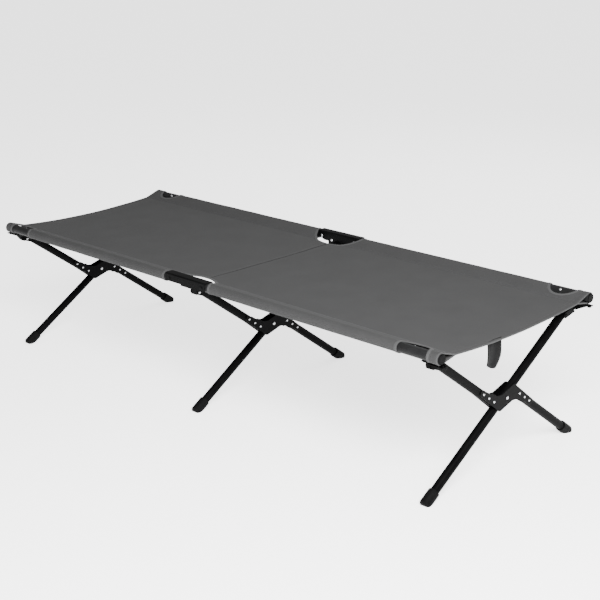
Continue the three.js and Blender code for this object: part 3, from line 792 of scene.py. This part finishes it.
def hems():
    """Doubled hems at both ends of the bed and round the sleeves' outer ends."""
    flat = tape_profile(HEM_WIDTH, 0.0008, 0.0007, 0.0018)
    fold = tape_profile(0.0030, 0.0011, 0.0011, 0.0021)
    for end_name, end in ENDS:
        ys = [(SEAM_Y + OVERLAP) * (k / 30 - 1) for k in range(61)]
        x = end * (CLOTH_END - HEM_IN)
        strips = [(f"{end_name}_end_hem", [Vector((x, y, cloth_z(x, y))) for y in ys], [UP] * len(ys),
                   f"near_{end_name}", True)]
        for side_name, side in SIDES:
            section = sleeve_section(side, SLEEVE_R)
            strips.append((f"{side_name}_{end_name}_sleeve_hem", [Vector((x, p.x, p.y)) for p, _ in section],
                           [Vector((0, n.x, n.y)) for _, n in section], f"{side_name}_{end_name}", False))
        for name, path, normals, body, squash in strips:
            outward = [Vector((end, 0, 0))] * len(path)
            sweep(name, path, outward, normals, flat, MATERIAL["cloth_grey"], body, squash)
            sweep(f"{name}_fold", path, outward, normals, fold, BINDING, body, squash)
            for row, back in (("outer", 0.0045), ("inner", HEM_WIDTH - 0.003)):
                line = [p - o * back for p, o in zip(path, outward)]
                stitches(f"{name}_{row}_stitches", line, normals, body, squash, lift=0.0007)


def seams():
    """Two rows of stitches along each sleeve's seam, and the felled seam across the middle of the bed
    with a strip of painted shadow beside it."""
    start, stop, count = FOLD_X + 0.001, CLOTH_END - 0.004, 81
    xs = [start + (stop - start) * k / (count - 1) for k in range(count)]
    for side_name, side in SIDES:
        section = sleeve_section(side, SLEEVE_R)
        for end_name, end in ENDS:
            for row, j in (("low", 1), ("high", 3)):
                point, normal = section[j]
                path = [Vector((end * x, point.x, point.y)) for x in xs]
                stitches(f"{side_name}_{end_name}_seam_stitches_{row}", path,
                         [Vector((0, normal.x, normal.y))] * count, f"{side_name}_{end_name}")
    width = half_width(0.0) - 0.008
    ys = [width * (k / 40 - 1) for k in range(81)]
    path = [Vector((0.0, y, cloth_z(0.0, y))) for y in ys]
    outward, up = [Vector((1, 0, 0))] * len(path), [UP] * len(path)
    felled = [(-0.006, 0.0000), (-0.0050, 0.0004), (0.0050, 0.0004), (0.006, 0.0000), (0.006, -0.0004),
              (-0.006, -0.0004)]
    shadow_strip = [(0.0058, 0.0000), (0.0058, 0.0003), (0.0080, 0.0003), (0.0080, 0.0000), (0.0080, -0.0004),
             (0.0058, -0.0004)]
    sweep("middle_felled_seam", path, outward, up, felled, MATERIAL["cloth_grey"], "near_mid", True)
    # the darker strip beside the felled seam is painted shadow
    sweep("middle_seam_painted_shadow", path, outward, up, shadow_strip, PAINTED_SEAM_SHADOW, "near_mid", True)
    for row, x in (("left", -0.0042), ("right", 0.0042)):
        line = [p + Vector((x, 0, 0)) for p in path]
        stitches(f"middle_seam_stitches_{row}", line, up, "near_mid", True, lift=0.0003)


def tie_strap():
    """Webbing strap under the right end hem, cut slanting, with its stitches, flat size and flat area."""
    low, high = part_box("tie_strap")
    middle = (low + high) / 2
    rows, columns = 30, 19
    tuck_from = high.z - 0.038       # below this height one edge draws in
    verts, weave = [], []
    for i in range(rows):
        share = i / (rows - 1)
        for j in range(columns):
            across = j / (columns - 1)
            bottom = low.z + 0.0005 + 0.0150 * (1 - across) ** 2.5
            z = (high.z + STRAP_SEWN_IN) * (1 - share) + bottom * share
            tuck = max(0.0, (tuck_from - z) / (tuck_from - low.z))
            y = low.y + (high.y - 0.018 * tuck ** 1.7 - low.y) * across
            bow = 0.0022 * math.sin(math.pi * share)
            bow += 0.0010 * math.sin(2.5 * math.pi * across + 2 * share)
            verts.append(Vector((middle.x + bow, y, z)))
            weave.append((y, z))
    faces = grid_faces(rows, columns)
    piece = woven_sheet("tie_strap_webbing", verts, faces, weave, MATERIAL["webbing_black"], STRAP_T)
    edge = [verts[i * columns] for i in range(2, rows)] + verts[(rows - 1) * columns + 1:rows * columns]
    edge += [verts[i * columns + columns - 1] for i in range(rows - 2, 1, -1)]
    line = [p + (middle - p).normalized() * 0.004 for p in edge]
    for face, way in (("front", 1), ("back", -1)):
        out = Vector((way, 0, 0))
        shifted = [p + out * 0.0016 for p in line]
        stitches(f"tie_strap_stitches_{face}", shifted, [out] * len(line), "near_right", True)
    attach(piece, "near_right")
    closes_with_legs(piece)
    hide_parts("tie_strap")
    return piece, (high.y - low.y, high.z + STRAP_SEWN_IN - low.z), flat_area(weave, faces)


sheets = [bed_panel("cloth_left", -CLOTH_END, -FOLD_X, "near_left"),
          bed_panel("cloth_middle", -FOLD_X, FOLD_X, "near_mid"),
          bed_panel("cloth_right", FOLD_X, CLOTH_END, "near_right")]
sheets += [sleeve(side_name, side, end_name, end) for side_name, side in SIDES for end_name, end in ENDS]
strap, flat, area = tie_strap()
bindings()
hems()
seams()

# ------------------------------------------------------------------ stage, light and camera


def stage():
    """A wide pale floor that glows a little, and an even white world."""
    bpy.ops.mesh.primitive_plane_add(size=30)
    floor = bpy.context.object
    floor.name = "floor"
    made, _, shader = start_material("pale_floor", 0.85)
    shader.inputs["Base Color"].default_value = (0.96, 0.96, 0.96, 1)
    shader.inputs["Specular IOR Level"].default_value = 0.1
    shader.inputs["Emission Color"].default_value = (1, 1, 1, 1)
    shader.inputs["Emission Strength"].default_value = 2.0
    floor.data.materials.append(made)
    world = bpy.data.worlds.new("studio")
    world.use_nodes = True
    world.node_tree.nodes["Background"].inputs["Color"].default_value = (1, 1, 1, 1)
    world.node_tree.nodes["Background"].inputs["Strength"].default_value = 0.66
    bpy.context.scene.world = world


def area_light(name, place, target, size, power):
    data = bpy.data.lights.new(name, "AREA")
    data.shape = "RECTANGLE"
    data.size, data.size_y = size
    data.energy = power
    lamp = bpy.data.objects.new(name, data)
    lamp.location = place
    lamp.rotation_euler = (Vector(target) - Vector(place)).to_track_quat("-Z", "Y").to_euler()
    bpy.context.scene.collection.objects.link(lamp)


def camera():
    """Camera off the near right corner, placed by fitting the feet, rivets and rail ends."""
    data = bpy.data.cameras.new("camera")
    data.sensor_width = 36.0
    data.lens = 76.54
    made = bpy.data.objects.new("camera", data)
    bpy.context.scene.collection.objects.link(made)
    yaw, pitch, roll = math.radians(135.105), math.radians(-18.10), math.radians(-0.87)
    ahead = Vector((math.cos(yaw) * math.cos(pitch), math.sin(yaw) * math.cos(pitch), math.sin(pitch)))
    level = Vector((math.sin(yaw), -math.cos(yaw), 0))
    above = level.cross(ahead)
    right = level * math.cos(roll) + above * math.sin(roll)
    up = above * math.cos(roll) - level * math.sin(roll)
    turn = Matrix((right, up, -ahead)).transposed().to_4x4()
    made.matrix_world = Matrix.Translation((2.7648, -2.6227, 1.5228)) @ turn
    bpy.context.scene.camera = made


stage()
area_light("key", (2.6, -1.8, 2.4), (0.3, 0, 0.3), (1.8, 1.8), 450)
area_light("back", (-0.5, 3.4, 2.6), (0, 0, 0.4), (3.5, 2.0), 60)
camera()
